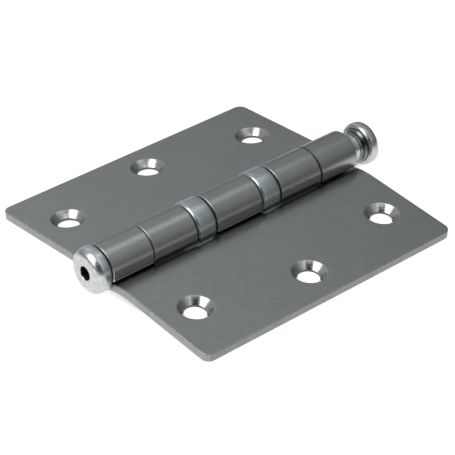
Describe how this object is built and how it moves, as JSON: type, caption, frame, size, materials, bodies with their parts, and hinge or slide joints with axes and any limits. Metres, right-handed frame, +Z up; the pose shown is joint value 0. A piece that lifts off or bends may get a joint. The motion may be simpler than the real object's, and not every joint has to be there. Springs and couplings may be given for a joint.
{
  "type": "loose-pin ball-bearing butt hinge",
  "caption": "Open square butt hinge of rolled steel leaves with countersunk holes, a loose pin drawn out a little, a plug and bright ball-bearing bands.",
  "frame": {"origin": "on the table the hinge lies on, under the middle of its length from plug to pin head", "axes": "+Y along the pin towards its head, +X towards the leaf with the middle knuckle, +Z up from the table"},
  "size_m": [0.0886, 0.1034, 0.0134],
  "materials": {
    "leaf_steel": "satin rolled steel with a thin clear finish",
    "plated_steel": "bright zinc plate, lightly mottled",
    "bearing_band": "bright polished steel band",
    "race_steel": "ground steel",
    "ball_steel": "polished steel"
  },
  "bodies": {
    "front_leaf": {"front_leaf": "leaf_steel", "end_plug": "plated_steel", "near_shell": "bearing_band", "near_fixed_race": "race_steel", "far_shell": "bearing_band", "far_fixed_race": "race_steel"},
    "back_leaf": {"back_leaf": "leaf_steel", "near_turning_race": "race_steel", "far_turning_race": "race_steel"},
    "hinge_pin": {"hinge_pin": "plated_steel"},
    "near_balls": {"near_balls": "ball_steel"},
    "far_balls": {"far_balls": "ball_steel"}
  },
  "joints": [
    {"name": "leaf_swing", "type": "hinge", "parent": "front_leaf", "child": "back_leaf", "pos_m": [0, 0, 0.0067], "axis": [0, 1, 0], "range_deg": [-110, 188]},
    {"name": "pin_draw", "type": "slide", "parent": "front_leaf", "child": "hinge_pin", "axis": [0, 1, 0], "range_m": [-0.0056, 0.075]},
    {"name": "near_ball_orbit", "type": "hinge", "parent": "front_leaf", "child": "near_balls", "pos_m": [0, 0, 0.0067], "axis": [0, 1, 0], "range_deg": [-55, 94]},
    {"name": "far_ball_orbit", "type": "hinge", "parent": "front_leaf", "child": "far_balls", "pos_m": [0, 0, 0.0067], "axis": [0, 1, 0], "range_deg": [-55, 94]}
  ],
  "couplings": [
    {"joint": "near_ball_orbit", "follows": "leaf_swing", "ratio": 0.5},
    {"joint": "far_ball_orbit", "follows": "leaf_swing", "ratio": 0.5}
  ]
}
